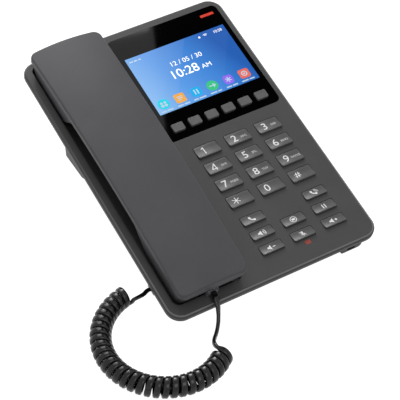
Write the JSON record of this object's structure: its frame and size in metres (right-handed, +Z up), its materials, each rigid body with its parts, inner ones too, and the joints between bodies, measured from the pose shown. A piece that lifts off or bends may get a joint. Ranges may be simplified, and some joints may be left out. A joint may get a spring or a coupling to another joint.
{
  "type": "desk ip phone",
  "caption": "Desk phone: a thin sloping slab on a rear stand, with a handset in a left-hand cradle, a colour display with soft keys, a dial pad and a curly handset cord.",
  "frame": {"origin": "centre of the phone's footprint without its cord, on the table surface under its feet", "axes": "+Z up, +X to the user's right, +Y away from the user, towards the raised back edge"},
  "size_m": [0.1957, 0.254, 0.0686],
  "materials": {
    "case_plastic": "fine matt texture",
    "handset_plastic": "fine matt texture",
    "key_plastic": "satin with white printed legends",
    "soft_key_plastic": "satin",
    "lens_plastic": "polished, clear over the screen and black printed behind its border",
    "display_glass": "backlit colour panel",
    "lamp_plastic": "clear red",
    "mat_rubber": "matt silicone",
    "board_laminate": "solder mask",
    "screw_steel": "zinc plated",
    "capsule_metal": "plain",
    "jack_plastic": "satin",
    "plug_plastic": "clear moulded",
    "cord_jacket": "satin extruded jacket",
    "foot_rubber": "matt"
  },
  "bodies": {
    "base": {"top_cover": "case_plastic", "bottom_case": "case_plastic", "desk_stand": "case_plastic", "rubber_feet": "foot_rubber", "case_screws": "screw_steel", "display_lens": "lens_plastic", "lcd_module": "display_glass", "message_lamp": "lamp_plastic", "mute_lamp": "lamp_plastic", "keypad_mat": "mat_rubber", "main_board": "board_laminate", "loudspeaker": "capsule_metal", "handsfree_microphone": "capsule_metal", "handset_socket": "jack_plastic", "network_jack": "jack_plastic", "pc_jack": "jack_plastic", "power_jack": "jack_plastic", "hook_switch": "jack_plastic", "base_plug": "plug_plastic", "cord_base_lead": "cord_jacket", "curly_cord": "cord_jacket", "cord_handset_lead": "cord_jacket"},
    "handset": {"handset_back_shell": "handset_plastic", "handset_front_shell": "handset_plastic", "receiver_capsule": "capsule_metal", "microphone_capsule": "capsule_metal", "handset_weight": "screw_steel", "handset_jack": "jack_plastic", "handset_screws": "screw_steel", "handset_plug": "plug_plastic"},
    "hook_plunger": {"hook_plunger": "key_plastic"},
    "key_1": {"key_1": "key_plastic"},
    "key_2": {"key_2": "key_plastic"},
    "key_3": {"key_3": "key_plastic"},
    "key_4": {"key_4": "key_plastic"},
    "key_5": {"key_5": "key_plastic"},
    "key_6": {"key_6": "key_plastic"},
    "key_7": {"key_7": "key_plastic"},
    "key_8": {"key_8": "key_plastic"},
    "key_9": {"key_9": "key_plastic"},
    "key_star": {"key_star": "key_plastic"},
    "key_0": {"key_0": "key_plastic"},
    "key_hash": {"key_hash": "key_plastic"},
    "soft_key_1": {"soft_key_1": "soft_key_plastic"},
    "soft_key_2": {"soft_key_2": "soft_key_plastic"},
    "soft_key_3": {"soft_key_3": "soft_key_plastic"},
    "soft_key_4": {"soft_key_4": "soft_key_plastic"},
    "soft_key_5": {"soft_key_5": "soft_key_plastic"},
    "soft_key_6": {"soft_key_6": "soft_key_plastic"},
    "key_line": {"key_line": "key_plastic"},
    "key_speaker": {"key_speaker": "key_plastic"},
    "key_volume_down": {"key_volume_down": "key_plastic"},
    "key_message": {"key_message": "key_plastic"},
    "key_mute": {"key_mute": "key_plastic"},
    "key_redial": {"key_redial": "key_plastic"},
    "key_hold": {"key_hold": "key_plastic"},
    "key_volume_up": {"key_volume_up": "key_plastic"}
  },
  "joints": [
    {"name": "key_1_press", "type": "slide", "parent": "base", "child": "key_1", "axis": [0, 0.2011, -0.9796], "range_m": [0, 0.001], "stiffness_N_per_m": 1200},
    {"name": "key_2_press", "type": "slide", "parent": "base", "child": "key_2", "axis": [0, 0.2011, -0.9796], "range_m": [0, 0.001], "stiffness_N_per_m": 1200},
    {"name": "key_3_press", "type": "slide", "parent": "base", "child": "key_3", "axis": [0, 0.2011, -0.9796], "range_m": [0, 0.001], "stiffness_N_per_m": 1200},
    {"name": "key_4_press", "type": "slide", "parent": "base", "child": "key_4", "axis": [0, 0.2011, -0.9796], "range_m": [0, 0.001], "stiffness_N_per_m": 1200},
    {"name": "key_5_press", "type": "slide", "parent": "base", "child": "key_5", "axis": [0, 0.2011, -0.9796], "range_m": [0, 0.001], "stiffness_N_per_m": 1200},
    {"name": "key_6_press", "type": "slide", "parent": "base", "child": "key_6", "axis": [0, 0.2011, -0.9796], "range_m": [0, 0.001], "stiffness_N_per_m": 1200},
    {"name": "key_7_press", "type": "slide", "parent": "base", "child": "key_7", "axis": [0, 0.2011, -0.9796], "range_m": [0, 0.001], "stiffness_N_per_m": 1200},
    {"name": "key_8_press", "type": "slide", "parent": "base", "child": "key_8", "axis": [0, 0.2011, -0.9796], "range_m": [0, 0.001], "stiffness_N_per_m": 1200},
    {"name": "key_9_press", "type": "slide", "parent": "base", "child": "key_9", "axis": [0, 0.2011, -0.9796], "range_m": [0, 0.001], "stiffness_N_per_m": 1200},
    {"name": "key_star_press", "type": "slide", "parent": "base", "child": "key_star", "axis": [0, 0.2011, -0.9796], "range_m": [0, 0.001], "stiffness_N_per_m": 1200},
    {"name": "key_0_press", "type": "slide", "parent": "base", "child": "key_0", "axis": [0, 0.2011, -0.9796], "range_m": [0, 0.001], "stiffness_N_per_m": 1200},
    {"name": "key_hash_press", "type": "slide", "parent": "base", "child": "key_hash", "axis": [0, 0.2011, -0.9796], "range_m": [0, 0.001], "stiffness_N_per_m": 1200},
    {"name": "soft_key_1_press", "type": "slide", "parent": "base", "child": "soft_key_1", "axis": [0, 0.2011, -0.9796], "range_m": [0, 0.001], "stiffness_N_per_m": 1200},
    {"name": "soft_key_2_press", "type": "slide", "parent": "base", "child": "soft_key_2", "axis": [0, 0.2011, -0.9796], "range_m": [0, 0.001], "stiffness_N_per_m": 1200},
    {"name": "soft_key_3_press", "type": "slide", "parent": "base", "child": "soft_key_3", "axis": [0, 0.2011, -0.9796], "range_m": [0, 0.001], "stiffness_N_per_m": 1200},
    {"name": "soft_key_4_press", "type": "slide", "parent": "base", "child": "soft_key_4", "axis": [0, 0.2011, -0.9796], "range_m": [0, 0.001], "stiffness_N_per_m": 1200},
    {"name": "soft_key_5_press", "type": "slide", "parent": "base", "child": "soft_key_5", "axis": [0, 0.2011, -0.9796], "range_m": [0, 0.001], "stiffness_N_per_m": 1200},
    {"name": "soft_key_6_press", "type": "slide", "parent": "base", "child": "soft_key_6", "axis": [0, 0.2011, -0.9796], "range_m": [0, 0.001], "stiffness_N_per_m": 1200},
    {"name": "key_line_press", "type": "slide", "parent": "base", "child": "key_line", "axis": [0, 0.2011, -0.9796], "range_m": [0, 0.001], "stiffness_N_per_m": 1200},
    {"name": "key_speaker_press", "type": "slide", "parent": "base", "child": "key_speaker", "axis": [0, 0.2011, -0.9796], "range_m": [0, 0.001], "stiffness_N_per_m": 1200},
    {"name": "key_volume_down_press", "type": "slide", "parent": "base", "child": "key_volume_down", "axis": [0, 0.2011, -0.9796], "range_m": [0, 0.001], "stiffness_N_per_m": 1200},
    {"name": "key_message_press", "type": "slide", "parent": "base", "child": "key_message", "axis": [0, 0.2011, -0.9796], "range_m": [0, 0.001], "stiffness_N_per_m": 1200},
    {"name": "key_mute_press", "type": "slide", "parent": "base", "child": "key_mute", "axis": [0, 0.2011, -0.9796], "range_m": [0, 0.001], "stiffness_N_per_m": 1200},
    {"name": "key_redial_press", "type": "slide", "parent": "base", "child": "key_redial", "axis": [0, 0.2011, -0.9796], "range_m": [0, 0.001], "stiffness_N_per_m": 1200},
    {"name": "key_hold_press", "type": "slide", "parent": "base", "child": "key_hold", "axis": [0, 0.2011, -0.9796], "range_m": [0, 0.001], "stiffness_N_per_m": 1200},
    {"name": "key_volume_up_press", "type": "slide", "parent": "base", "child": "key_volume_up", "axis": [0, 0.2011, -0.9796], "range_m": [0, 0.001], "stiffness_N_per_m": 1200},
    {"name": "handset_lift", "type": "slide", "parent": "base", "child": "handset", "axis": [0, -0.2011, 0.9796], "range_m": [0, 0.06], "deforming": ["cord_handset_lead", "curly_cord"]},
    {"name": "hook_plunger_slide", "type": "slide", "parent": "base", "child": "hook_plunger", "axis": [0, -0.2011, 0.9796], "range_m": [0, 0.003]}
  ],
  "couplings": [
    {"joint": "hook_plunger_slide", "follows": "handset_lift", "ratio": 0.05}
  ]
}
